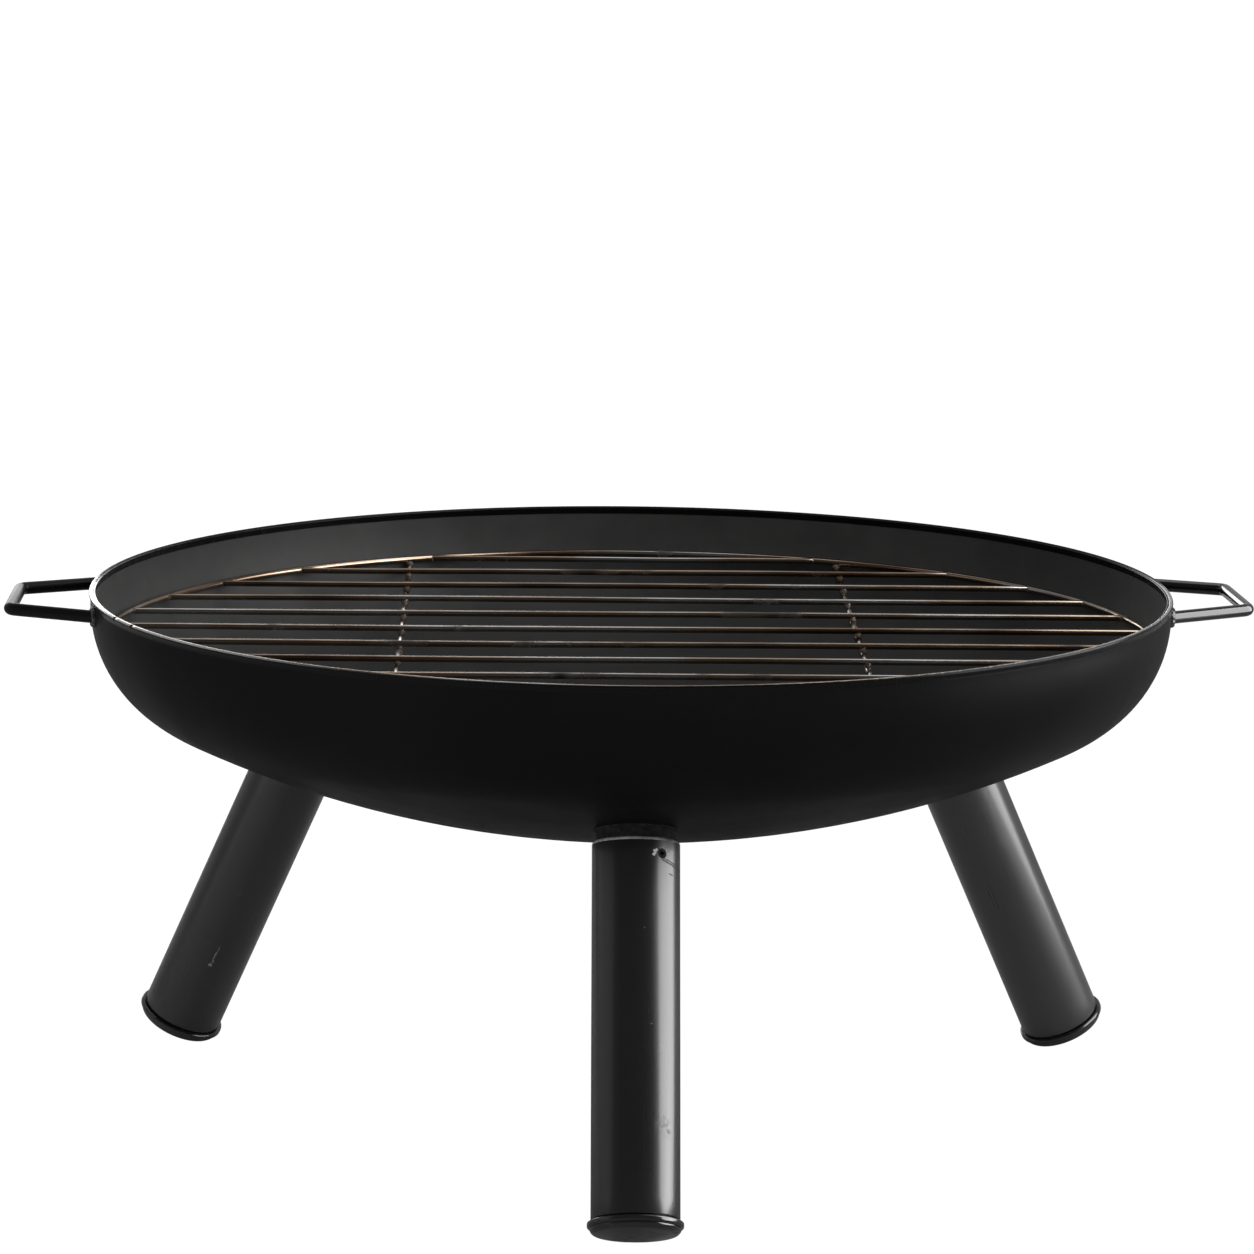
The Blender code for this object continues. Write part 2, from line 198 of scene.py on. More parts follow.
class Look:
    """One Principled material. Each call adds a node and returns the output to link on.

    Patterns sit where the mesh's own "place" says: metres from the bowl's or the leg's own axes.
    """

    def __init__(self, look_name, color, roughness, metallic=0.0, specular=0.5, coat=0.0,
                 on_cad=False):
        self.material = bpy.data.materials.new(look_name)
        self.material.use_nodes = True
        self.tree = self.material.node_tree
        self.shader = self.tree.nodes["Principled BSDF"]
        starting = {"Base Color": (*color, 1.0), "Roughness": roughness, "Metallic": metallic,
                    "Specular IOR Level": specular, "Coat Weight": coat,
                    "Coat Roughness": COAT_ROUGHNESS}
        for name, value in starting.items():
            self.shader.inputs[name].default_value = value
        if on_cad:
            self.place = add_node(self.tree, "TexCoord").outputs["Object"]
        else:
            kept = add_node(self.tree, "Attribute")
            kept.attribute_name = "place"
            self.place = kept.outputs["Vector"]

    def feed(self, socket, value):
        if isinstance(value, bpy.types.NodeSocket):
            self.tree.links.new(value, socket)
        else:
            socket.default_value = value

    def drive(self, name, value):
        self.feed(self.shader.inputs[name], value)

    def math(self, operation, first, second):
        node = add_node(self.tree, "Math")
        node.operation = operation
        self.feed(node.inputs[0], first)
        self.feed(node.inputs[1], second)
        return node.outputs[0]

    def times(self, first, second):
        return self.math("MULTIPLY", first, second)

    def vector(self, operation, first, second=(0.0, 0.0, 0.0), scale=None):
        node = add_node(self.tree, "VectorMath")
        node.operation = operation
        self.feed(node.inputs[0], first)
        self.feed(node.inputs[1], second)
        if scale is not None:
            self.feed(node.inputs["Scale"], scale)
        return node.outputs["Value" if operation in ("LENGTH", "DOT_PRODUCT") else "Vector"]

    def stretched(self, scale):
        return self.vector("MULTIPLY", self.place, scale)

    def noise(self, scale, detail, rough, place=None):
        node = add_node(self.tree, "TexNoise",
                        {"Scale": scale, "Detail": detail, "Roughness": rough})
        self.feed(node.inputs["Vector"], place or self.place)
        return node.outputs["Fac"]

    def part(self, letter):
        node = add_node(self.tree, "SeparateXYZ")
        self.tree.links.new(self.place, node.inputs[0])
        return node.outputs[letter]

    def cells(self, scale):
        node = add_node(self.tree, "TexVoronoi", {"Scale": scale})
        self.feed(node.inputs["Vector"], self.place)
        return node.outputs["Distance"]

    def step(self, value, start, end, low=0.0, high=1.0):
        """Smooth change from low to high as the value goes from start to end."""
        node = smooth_range(self.tree, start, end, low, high)
        self.feed(node.inputs["Value"], value)
        return node.outputs["Result"]

    def blend(self, factor, first, second):
        node = add_node(self.tree, "Mix")
        node.data_type = "RGBA"
        self.feed(node.inputs["Factor"], factor)
        for letter, color in (("A", first), ("B", second)):
            linked = isinstance(color, bpy.types.NodeSocket)
            self.feed(node.inputs[letter], color if linked else (*color, 1.0))
        return node.outputs["Result"]

    def mask_any(self, masks):
        total = masks[0]
        for mask in masks[1:]:
            total = self.math("MAXIMUM", total, mask)
        return total

    def ragged_place(self, amount, scale):
        """The place moved about by noise, so that what is drawn from it has torn edges."""
        node = add_node(self.tree, "TexNoise", {"Scale": scale, "Detail": 4.0})
        self.feed(node.inputs["Vector"], self.place)
        centred = self.vector("SUBTRACT", node.outputs["Color"], (0.5, 0.5, 0.5))
        moved = self.vector("SCALE", centred, scale=amount)
        return self.vector("ADD", self.place, moved)

    def spot(self, place, center, radius, soft):
        """1 inside a ball round the centre, 0 outside it."""
        away = self.vector("LENGTH", self.vector("SUBTRACT", place, center))
        return self.step(away, radius, radius + soft, 1.0, 0.0)

    def stroke(self, place, start, end, radius, soft):
        """1 along a thin line from start to end, 0 away from it."""
        run = Vector(end) - Vector(start)
        offset = self.vector("SUBTRACT", place, start)
        along = self.vector("DOT_PRODUCT", offset, tuple(run / run.length_squared))
        along = self.math("MINIMUM", self.math("MAXIMUM", along, 0.0), 1.0)
        nearest = self.vector("SCALE", tuple(run), scale=along)
        away = self.vector("LENGTH", self.vector("SUBTRACT", offset, nearest))
        return self.step(away, radius, radius + soft, 1.0, 0.0)

    def bump(self, height, depth, strength, below=None):
        node = add_node(self.tree, "Bump", {"Strength": strength, "Distance": depth})
        self.feed(node.inputs["Height"], height)
        if below is not None:
            self.feed(node.inputs["Normal"], below)
        return node.outputs["Normal"]


def paint_surface(look, color, worn, gloss, spread, peel):
    """Sprayed paint: slow changes of colour and gloss, orange peel and fine grain."""
    clouds = look.noise(9.0, 4.0, 0.6)
    specks = look.noise(420.0, 2.0, 0.6)
    tone = look.math("ADD", look.step(clouds, 0.3, 0.75, 0.0, 0.75),
                     look.step(specks, 0.5, 0.9, 0.0, 0.25))
    look.drive("Base Color", look.blend(tone, color, worn))
    streaks = look.noise(14.0, 3.0, 0.55, look.stretched((1.0, 1.0, 0.35)))
    rough = look.step(streaks, 0.25, 0.8, gloss - spread, gloss + spread)
    look.drive("Roughness", rough)
    grain = look.bump(look.noise(2600.0, 2.0, 0.7), 0.00002, 0.35)
    look.drive("Normal", look.bump(look.noise(520.0, 1.5, 0.4), 0.00006, peel, grain))
    return rough


def bowl_outside_look():
    """Matt stove paint that hardly shines."""
    look = Look("bowl_paint_outside", (0.009, 0.009, 0.009), 0.5, specular=0.045)
    paint_surface(look, (0.0082, 0.0082, 0.0084), (0.0118, 0.0117, 0.0116), 0.46, 0.06, 0.30)
    return look.material


def bowl_inside_look():
    """Inside, the wall above the grate is far lighter than the outside paint: partly a thin grey
    film of ash, partly painted light on the lit inner wall; below the grate it is dark.
    """
    look = Look("bowl_paint_inside", (0.02, 0.02, 0.02), 0.6, specular=0.3)
    film = look.noise(6.0, 5.0, 0.62)
    drips = look.noise(11.0, 4.0, 0.6, look.stretched((1.0, 1.0, 0.22)))
    upper = look.step(look.part("Z"), 0.195, 0.275)
    dust = look.times(look.step(film, 0.3, 0.7), look.step(drips, 0.25, 0.7, 0.55, 1.0))
    # The upper wall's greys are many times lighter than the outside paint: painted light, with the
    # ash film's mottle on top.
    painted = look.blend(dust, (0.068, 0.068, 0.0685), (0.125, 0.1245, 0.124))
    darker_part = look.blend(look.step(film, 0.35, 0.65), (0.006, 0.0058, 0.0055), (0.016, 0.015, 0.014))
    specks = look.times(look.step(look.cells(95.0), 0.06, 0.03), look.step(film, 0.50, 0.62))
    color = look.blend(upper, darker_part, painted)
    look.drive("Base Color", look.blend(look.times(specks, 0.4), color, (0.12, 0.12, 0.115)))
    look.drive("Roughness", look.step(drips, 0.2, 0.8, 0.48, 0.66))
    grain = look.bump(look.noise(1900.0, 3.0, 0.7), 0.00003, 0.5)
    look.drive("Normal", look.bump(look.noise(260.0, 3.0, 0.5), 0.00008, 0.35, grain))
    return look.material


def rim_look():
    """Dull paint on the roll, rubbed through to steel along the top of its front half; at the very
    front the steel is tinted brown as a painted reflection.
    """
    look = Look("rim_paint", (0.012, 0.012, 0.012), 0.2, specular=0.12)
    ragged = look.noise(45.0, 4.0, 0.6)
    fine = look.noise(240.0, 3.0, 0.6)
    height = look.math("ADD", look.part("Z"), look.times(fine, 0.0004))
    narrower = look.step(look.part("X"), -0.22, 0.05, 0.0, 0.00058)
    top = look.step(look.math("SUBTRACT", height, narrower),
                    RIM_HEIGHT - 0.00085, RIM_HEIGHT - 0.00060)
    reach = look.math("ADD", look.part("Y"), look.times(ragged, 0.06))
    front = look.step(reach, 0.060, 0.040)
    nicks = []
    for azimuth in NICK_AZIMUTHS:
        center = rim_point(azimuth, RIM_RADIUS - ROLL_RADIUS, RIM_HEIGHT - 0.0004)
        ragged_nick = look.ragged_place(0.0016, 900.0)
        nicks.append(look.spot(ragged_nick, tuple(center), NICK_BARE_RADIUS, 0.0004))
    whole = look.math("SUBTRACT", 1.0, look.mask_any(nicks))
    worn = look.times(look.times(top, front), whole)
    # Brown tint on the steel at the front of the roll: a painted reflection.
    darker_part = look.times(look.step(look.part("Y"), -0.20, -0.275),
                      look.step(look.noise(9.0, 3.0, 0.6), 0.30, 0.60, 0.45, 1.0))
    steel = look.blend(look.step(fine, 0.30, 0.70), (0.78, 0.77, 0.76), (0.62, 0.60, 0.58))
    steel = look.blend(darker_part, steel, (0.22, 0.165, 0.13))
    look.drive("Base Color", look.blend(worn, (0.008, 0.008, 0.0085), steel))
    look.drive("Metallic", worn)
    look.drive("Roughness", look.step(fine, 0.3, 0.7, 0.20, 0.28))
    look.drive("Normal", look.bump(look.noise(500.0, 2.0, 0.6), 0.00002, 0.2))
    return look.material


def handle_look(name, gloss, specular, coat):
    """Even black paint; the right handle shines more than the left."""
    look = Look(name, (0.008, 0.008, 0.008), gloss, specular=specular, coat=coat)
    paint_surface(look, (0.005, 0.005, 0.0055), (0.010, 0.010, 0.0105), gloss, 0.03, 0.10)
    return look.material


def lip_look():
    """The rounded end of a leg tube, in light greys that are a painted highlight along the edge,
    mottled by a pattern of wear.
    """
    look = Look("leg_lip_painted_highlight", (0.1, 0.1, 0.1), 0.35, coat=0.4)
    wear = look.noise(160.0, 4.0, 0.65)
    # The lip's greys are many times lighter than the leg paint: a painted highlight, mottled by the
    # wear noise.
    thin = look.step(wear, 0.35, 0.65)
    look.drive("Base Color", look.blend(thin, (0.22, 0.22, 0.215), (0.50, 0.49, 0.48)))
    look.drive("Roughness", look.step(wear, 0.3, 0.7, 0.28, 0.42))
    look.drive("Normal", look.bump(wear, 0.00008, 0.4))
    return look.material


def leg_look(name, shade, bare, marks, smudges, scratches):
    """Gloss paint of one shade, with the leg's own bare marks, smudges and dark scratches. The
    shade and the tone of the bare marks are set per leg, lighter or darker, as painted light and
    shade for how the lamps fall on each leg.

    A mark is a spot (centre, radius, soft edge) or a stroke (start, end, radius, soft edge).
    """
    look = Look(name, (shade, shade, shade), 0.30, specular=0.95, coat=LEG_COAT)
    rough = paint_surface(look, (shade, shade, shade * 1.03),
                          (shade * 1.4, shade * 1.4, shade * 1.42), 0.30, 0.035, 0.10)
    drawn = look.noise(95.0, 3.0, 0.6, look.stretched((1.0, 1.0, 0.03)))
    rough = look.math("ADD", rough, look.step(drawn, 0.30, 0.70, -0.015, 0.015))
    color = look.shader.inputs["Base Color"].links[0].from_socket
    normal = look.shader.inputs["Normal"].links[0].from_socket
    dust = look.step(look.cells(170.0), 0.045, 0.02)
    dust = look.times(dust, look.step(look.noise(16.0, 3.0, 0.6), 0.55, 0.72))
    color = look.blend(look.times(dust, 0.6), color, (0.10, 0.10, 0.10))
    coat = look.math("SUBTRACT", LEG_COAT, look.times(dust, LEG_COAT / 2))
    if smudges:
        wide = look.ragged_place(0.0080, 210.0)
        smudge = look.mask_any([look.spot(wide, *spot) for spot in smudges])
        smudge = look.times(smudge, look.step(look.noise(380.0, 4.0, 0.7), 0.42, 0.62))
        color = look.blend(smudge, color, (0.035, 0.035, 0.034))
        rough = look.math("ADD", rough, look.times(smudge, 0.25))
        coat = look.times(coat, look.step(smudge, 0.0, 1.0, 1.0, 0.15))
    if scratches:
        fine = look.ragged_place(0.0007, 700.0)
        scratch = look.mask_any([look.stroke(fine, *line) for line in scratches])
        color = look.blend(look.times(scratch, 0.8), color, (0.003, 0.003, 0.003))
        rough = look.math("ADD", rough, look.times(scratch, 0.25))
        coat = look.times(coat, look.step(scratch, 0.0, 1.0, 1.0, 0.1))
        normal = look.bump(look.math("SUBTRACT", 1.0, scratch), 0.00015, 1.0, normal)
    if marks:
        torn = look.ragged_place(0.0030, 520.0)
        chip = look.mask_any([look.stroke(torn, *mark) if len(mark) == 4 else look.spot(torn, *mark)
                              for mark in marks])
        color = look.blend(chip, color, (bare, bare, bare * 0.985))
        coat = look.times(coat, look.step(chip, 0.0, 1.0, 1.0, 0.1))
        normal = look.bump(look.math("SUBTRACT", 1.0, chip), 0.00012, 1.0, normal)
    look.drive("Base Color", color)
    look.drive("Roughness", rough)
    look.drive("Coat Weight", coat)
    look.drive("Normal", normal)
    return look.material


def cap_look():
    """Moulded plastic: glossy and faintly rippled, with scuffs low down near the ground."""
    look = Look("foot_cap_plastic", (0.012, 0.012, 0.012), 0.14, specular=0.9, coat=0.3)
    scuffs = look.noise(70.0, 5.0, 0.65, look.stretched((1.0, 1.0, 2.6)))
    low = look.step(look.part("Z"), -0.0362, -0.0345, 1.0, 0.0)
    worn = look.times(look.step(scuffs, 0.52, 0.70), low)
    look.drive("Base Color", look.blend(worn, (0.015, 0.015, 0.0155), (0.034, 0.0335, 0.033)))
    look.drive("Roughness", look.math("ADD", look.step(scuffs, 0.3, 0.7, 0.10, 0.18),
                                      look.times(worn, 0.20)))
    ripples = look.noise(260.0, 2.0, 0.5, look.stretched((0.35, 0.35, 3.0)))
    fine = look.bump(look.noise(900.0, 3.0, 0.6), 0.00003, 0.25)
    look.drive("Normal", look.bump(ripples, 0.00018, 0.45, fine))
    return look.material


def wire_look():
    """Bare wire gone straw and brown with heat, with burnt-on grease in patches."""
    look = Look("grate_wire_steel", (0.6, 0.55, 0.5), 0.25, metallic=1.0)
    heat = look.noise(10.0, 2.5, 0.5)
    silver = look.blend(look.step(heat, 0.34, 0.52), (0.54, 0.52, 0.50), (0.38, 0.29, 0.22))
    tinted = look.blend(look.step(heat, 0.52, 0.70), silver, (0.18, 0.115, 0.078))
    grease = look.noise(24.0, 3.0, 0.6)
    patches = look.noise(7.0, 3.0, 0.6, look.stretched((1.0, 1.6, 1.0)))
    burnt = look.times(look.step(grease, 0.50, 0.70), look.step(patches, 0.40, 0.62))
    look.drive("Base Color", look.blend(burnt, tinted, (0.028, 0.018, 0.012)))
    look.drive("Metallic", look.step(burnt, 0.2, 0.8, 1.0, 0.15))
    base = look.step(look.noise(60.0, 2.0, 0.5), 0.3, 0.7, 0.13, 0.21)
    look.drive("Roughness", look.math("ADD", base, look.times(burnt, 0.22)))
    drawn = look.bump(look.noise(900.0, 2.0, 0.6), 0.00003, 0.4)
    look.drive("Normal", look.bump(burnt, 0.00010, 0.4, drawn))
    return look.material


def weld_look(name, color, gloss, specular=0.5):
    """Lumpy surface with lighter tops, for weld beads and cut edges."""
    look = Look(name, color, gloss, specular=specular)
    lumps = look.noise(300.0, 3.0, 0.6)
    lighter = tuple(value * 2.2 for value in color)
    look.drive("Base Color", look.blend(look.step(lumps, 0.35, 0.7), color, lighter))
    look.drive("Roughness", look.step(lumps, 0.3, 0.7, gloss - 0.05, gloss + 0.08))
    look.drive("Normal", look.bump(lumps, 0.00025, 0.6))
    return look.material


def screw_look():
    """Blackened screw with tool marks."""
    look = Look("blackened_screw", (0.05, 0.05, 0.05), 0.4, metallic=1.0, on_cad=True)
    marks = look.noise(1200.0, 3.0, 0.6)
    rubbed = look.step(marks, 0.35, 0.7)
    look.drive("Base Color", look.blend(rubbed, (0.006, 0.006, 0.006), (0.020, 0.020, 0.020)))
    look.drive("Roughness", look.step(marks, 0.3, 0.7, 0.34, 0.5))
    look.drive("Normal", look.bump(marks, 0.00004, 0.5))
    return look.material


# ---------------------------------------------------------------- mesh tools

def rim_point(azimuth, radius, height):
    angle = math.radians(azimuth)
    return Vector((radius * math.cos(angle), radius * math.sin(angle), height))


def on_tube(azimuth, height):
    """A place on a tube's surface, in the leg's own axes, with azimuth 0 on its outward side."""
    return tuple(rim_point(azimuth, TUBE_RADIUS, height))


def by_screw(azimuth, rise):
    return on_tube(azimuth, SCREW_HEIGHT + rise)


def scratch_round(start, end, radius):
    """Short strokes that follow the tube from one (azimuth, rise from the screw) to another."""
    strokes = []
    for index in range(SCRATCH_PIECES):
        low, high = index / SCRATCH_PIECES, (index + 1) / SCRATCH_PIECES
        first = [a + (b - a) * low for a, b in zip(start, end)]
        last = [a + (b - a) * high for a, b in zip(start, end)]
        strokes.append((by_screw(*first), by_screw(*last), radius, SCRATCH_SOFT))
    return strokes


def arc_points(center, radius, start, end, steps):
    """Points (x, z) on an arc between two angles in degrees."""
    points = []
    for index in range(steps + 1):
        angle = math.radians(start + (end - start) * index / steps)
        points.append((center[0] + radius * math.cos(angle), center[1] + radius * math.sin(angle)))
    return points


def store_place(mesh, frame_matrix):
    """Writes each point's place in its own axes on the mesh, for the materials to read."""
    if "place" in mesh.attributes:
        mesh.attributes.remove(mesh.attributes["place"])
    back = frame_matrix.inverted()
    layer = mesh.attributes.new("place", "FLOAT_VECTOR", "POINT")
    for vertex in mesh.vertices:
        layer.data[vertex.index].vector = back @ vertex.co


def finish_object(name, shape, materials, frame_matrix, sharp):
    """Object in the shared frame from a bmesh that was built in its own axes."""
    for face in shape.faces:
        face.smooth = True
    bmesh.ops.recalc_face_normals(shape, faces=shape.faces)
    mesh = bpy.data.meshes.new(name)
    shape.to_mesh(mesh)
    shape.free()
    mesh.transform(frame_matrix)
    for vertex in mesh.vertices:
        vertex.co.z = max(vertex.co.z, 0.0)
    store_place(mesh, frame_matrix)
    mesh.set_sharp_from_angle(angle=math.radians(sharp))
    for material in materials:
        mesh.materials.append(material)
    obj = bpy.data.objects.new(name, mesh)
    bpy.context.scene.collection.objects.link(obj)
    return obj


def grid_object(name, rows, materials, frame_matrix=AT_AXIS, closed=False, bands=None, sharp=42.0):
    """Object from rings of points. A ring of one point is a pole; bands say which material."""
    shape = bmesh.new()
    rings = [[shape.verts.new(point) for point in row] for row in rows]
    pairs = list(zip(rings[:-1], rings[1:]))
    if closed:
        pairs.append((rings[-1], rings[0]))
    for band, (first, second) in enumerate(pairs):
        count = max(len(first), len(second))
        for index in range(count):
            after = (index + 1) % count
            corners = [first[index % len(first)], second[index % len(second)],
                       second[after % len(second)], first[after % len(first)]]
            face = shape.faces.new(list(dict.fromkeys(corners)))
            if bands:
                face.material_index = bands[band]
    return finish_object(name, shape, materials, frame_matrix, sharp)


def turned_rows(profile, angles):
    """Rings of a profile of (radius, z) turned about Z, with a pole where the radius is 0."""
    rows = []
    for radius, height in profile:
        if radius < 1e-7:
            rows.append([Vector((0.0, 0.0, height))])
        else:
            rows.append([rim_point(angle, radius, height) for angle in angles])
    return rows


def even_angles(count):
    return [360.0 * index / count for index in range(count)]


def swept_rows(path, radius_at, sides, closed=False):
    """Rings of a round section carried along a path without twisting."""
    count = len(path)
    tangents = []
    for index in range(count):
        before = path[index - 1] if closed or index else path[0]
        after = path[(index + 1) % count] if closed or index < count - 1 else path[-1]
        tangents.append((after - before).normalized())
    side = tangents[0].orthogonal().normalized()
    rows = []
    for index, (point, tangent) in enumerate(zip(path, tangents)):
        side = (side - tangent * side.dot(tangent)).normalized()
        other = tangent.cross(side)
        ring = []
        for step in range(sides):
            turn = 2 * math.pi * step / sides
            way = side * math.cos(turn) + other * math.sin(turn)
            ring.append(point + way * radius_at(index, turn))
        rows.append(ring)
    return rows


def rod_object(name, path, radius, material, sides):
    """Round rod along a path, with softly rounded ends."""
    first = (path[0] - path[1]).normalized()
    last = (path[-1] - path[-2]).normalized()
    body = swept_rows(path, lambda index, turn: radius, sides)
    ease = radius * 0.35
    start, end = [], []
    for step in range(1, ROD_END_STEPS + 1):
        angle = math.pi / 2 * step / ROD_END_STEPS
        shrink = (radius - ease * (1 - math.cos(angle))) / radius
        for rings, way, tip, ring in ((start, first, path[0], body[0]),
                                      (end, last, path[-1], body[-1])):
            rings.append([tip + way * ease * math.sin(angle) + (p - tip) * shrink for p in ring])
    rows = [[path[0] + first * ease]] + start[::-1] + body + end + [[path[-1] + last * ease]]
    return grid_object(name, rows, [material])


def weld_ring(name, loop, radius, material, frame_matrix, ripples):
    """Weld bead along a closed loop, with the ripples that the torch leaves."""
    def bead(index, turn):
        wave = math.sin(2 * math.pi * ripples * index / len(loop) + 0.9 * math.cos(turn))
        lump = noise.noise(loop[index] * 420.0)
        return radius * (1.0 + 0.10 * wave + 0.22 * lump)
    rows = swept_rows(loop, bead, 12, closed=True)
    return grid_object(name, rows, [material], frame_matrix, closed=True)


def on_body(obj, body, slot, *nodes):
    """Makes a piece ride with a body, in place of the CAD nodes named, which it hides. The slot
    argument is not used.
    """
    if nodes:
        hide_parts(*nodes)
    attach(obj, body)
    return obj


# ---------------------------------------------------------------- bowl

SHOULDER_CENTER = (WALL_RADIUS - SHOULDER_RADIUS, RIM_HEIGHT - SHOULDER_DROP)
DISH_CENTER = (SHOULDER_CENTER[1]
               + math.sqrt((DISH_RADIUS - SHOULDER_RADIUS) ** 2 - SHOULDER_CENTER[0] ** 2))
DISH_EDGE = math.degrees(math.atan2(SHOULDER_CENTER[0], DISH_CENTER - SHOULDER_CENTER[1]))


def skin_points(inset):
    """Points (radius, z) of the bowl's skin from the wall down to its middle."""
    shoulder = arc_points(SHOULDER_CENTER, SHOULDER_RADIUS - inset, 0.0, DISH_EDGE - 90.0, 22)
    dish = arc_points((0.0, DISH_CENTER), DISH_RADIUS - inset, DISH_EDGE - 90.0, -90.0, 26)
    return shoulder + dish[1:-1] + [(0.0, DISH_CENTER - DISH_RADIUS + inset)]


def rim_points():
    """The rolled rim from inside to outside: hem, lip, groove and roll."""
    inner = WALL_RADIUS - SHEET
    roll = (RIM_RADIUS - ROLL_RADIUS, RIM_HEIGHT - ROLL_RADIUS)
    lip = (roll[0] - ROLL_RADIUS - LIP_RADIUS * 0.85, RIM_HEIGHT - LIP_DROP - LIP_RADIUS)
    hem = [(inner, RIM_HEIGHT - HEM_HEIGHT), (inner - 0.0004, RIM_HEIGHT - HEM_HEIGHT + 0.0003)]
    points = hem + arc_points(lip, LIP_RADIUS, 205.0, 10.0, 9)
    points += arc_points(roll, ROLL_RADIUS, 168.0, -52.0, 18)
    return points + [(WALL_RADIUS, RIM_HEIGHT - 0.0042)]


def nick_depth(angle):
    """How far a dent in the rim is pressed in at this azimuth."""
    depth = 0.0
    for nick in NICK_AZIMUTHS:
        away = abs(angle - nick) / NICK_HALF_WIDTH
        if away < 1.0:
            depth = max(depth, NICK_DEPTH * math.cos(away * math.pi / 2) ** 2)
    return depth


def make_bowl():
    """The pressed bowl, a hair out of round, with two dents in its rim."""
    angles = set(even_angles(BOWL_SIDES))
    for nick in NICK_AZIMUTHS:
        angles.update(nick + NICK_HALF_WIDTH * part for part in NICK_STEPS)
    angles = sorted(angles)
    inside = skin_points(SHEET)[::-1]
    rim = rim_points()
    outside = skin_points(0.0)
    profile = inside + rim + outside
    rows = turned_rows(profile, angles)
    for row, (radius, height) in zip(rows, profile):
        if len(row) == 1:
            continue
        near_rim = max(0.0, (height - UNEVEN_FROM) / (RIM_HEIGHT - UNEVEN_FROM))
        on_roll = max(0.0, (height - RIM_HEIGHT + 2 * ROLL_RADIUS) / (2 * ROLL_RADIUS))
        for point, angle in zip(row, angles):
            turn = math.radians(angle)
            place = Vector((math.cos(turn) * 2.1, math.sin(turn) * 2.1, 4.7))
            wave = 0.5 + 0.5 * noise.noise(place)
            pull = 1.0 - OUT_OF_ROUND * wave * near_rim / radius
            point.x *= pull
            point.y *= pull
            point.z -= RIM_WAVE * wave * near_rim + nick_depth(angle) * on_roll
    bands = [0] * (len(inside) + 1) + [1] * (len(rim) - 2) + [2] * len(outside)
    bowl = grid_object("bowl_fine", rows, [inside_paint, rim_paint, outside_paint], bands=bands)
    return on_body(bowl, "pit", "black_steel", "bowl")


# ---------------------------------------------------------------- handles

def bent_corner(corner, before, after, radius, steps):
    """Arc that rounds the corner between two straight runs."""
    to_before = (before - corner).normalized()
    to_after = (after - corner).normalized()
    half_angle = to_before.angle(to_after) / 2
    center = corner + (to_before + to_after).normalized() * radius / math.sin(half_angle)
    tangent = radius / math.tan(half_angle)
    first = corner + to_before * tangent - center
    last = corner + to_after * tangent - center
    sweep = first.angle(last)
    points = []
    for index in range(steps + 1):
        part = index / steps
        blend = first * math.sin((1 - part) * sweep) + last * math.sin(part * sweep)
        points.append(center + blend / math.sin(sweep))
    return points


def make_handle(name, azimuth):
    """One bent rod and the weld beads that hold its two ends to the wall."""
    height = RIM_HEIGHT - HANDLE_DROP
    turn = AT_AXIS @ Matrix.Rotation(math.radians(azimuth), 4, "Z")
    root_x = WALL_RADIUS - 0.010
    grip_x = HANDLE_REACH - ROD_RADIUS
    corners = [Vector((x, y, height)) for x, y in (
        (root_x, -HANDLE_ROOT_HALF), (grip_x, -HANDLE_GRIP_HALF),
        (grip_x, HANDLE_GRIP_HALF), (root_x, HANDLE_ROOT_HALF))]
    path = [to_wall(corners[0], (corners[1] - corners[0]).normalized(), ROD_END_RADIUS)]
    path += bent_corner(corners[1], corners[0], corners[2], HANDLE_BEND_RADIUS, HANDLE_BEND_STEPS)
    path += bent_corner(corners[2], corners[1], corners[3], HANDLE_BEND_RADIUS, HANDLE_BEND_STEPS)
    path += [to_wall(corners[3], (corners[2] - corners[3]).normalized(), ROD_END_RADIUS)]
    rows = swept_rows(path, lambda index, turn: ROD_RADIUS, ROD_SIDES)
    outward = ((path[1] - path[0]).normalized(), (path[-2] - path[-1]).normalized())
    rows[0] = [to_wall(point, outward[0], ROD_END_RADIUS) for point in rows[0]]
    rows[-1] = [to_wall(point, outward[1], ROD_END_RADIUS) for point in rows[-1]]
    rows.insert(0, [to_wall(path[0], outward[0], ROD_END_RADIUS)])
    rows.append([to_wall(path[-1], outward[1], ROD_END_RADIUS)])
    rod = grid_object(name + "_fine", rows, [handle_paints[name]], turn)
    on_body(rod, "pit", "black_steel", name)
    for side, inner, outer in (("near", path[0], path[1]), ("far", path[-1], path[-2])):
        way = (outer - inner).normalized()
        loop = wall_loop(inner, way, ROD_RADIUS + 0.0003, HANDLE_BEAD_STEPS)
        bead = weld_ring("%s_weld_%s" % (name, side), loop, HANDLE_BEAD, handle_weld, turn,
                         HANDLE_BEAD_RIPPLES)
        on_body(bead, "pit", "black_steel")


def to_wall(point, direction, radius):
    """Slides a point along a direction until it is at that radius from the bowl's axis."""
    a = direction.x ** 2 + direction.y ** 2
    b = point.x * direction.x + point.y * direction.y
    c = point.x ** 2 + point.y ** 2 - radius ** 2
    return point + direction * ((-b + math.sqrt(b * b - a * c)) / a)


def wall_loop(start, direction, radius, count):
    """Closed curve where a round rod of that radius meets the bowl's upright wall."""
    side = Vector((0.0, 0.0, 1.0))
    other = direction.cross(side).normalized()
    points = []
    for index in range(count):
        turn = 2 * math.pi * index / count
        base = start + (side * math.cos(turn) + other * math.sin(turn)) * radius
        points.append(to_wall(base, direction, WALL_RADIUS))
    return points


# ---------------------------------------------------------------- legs

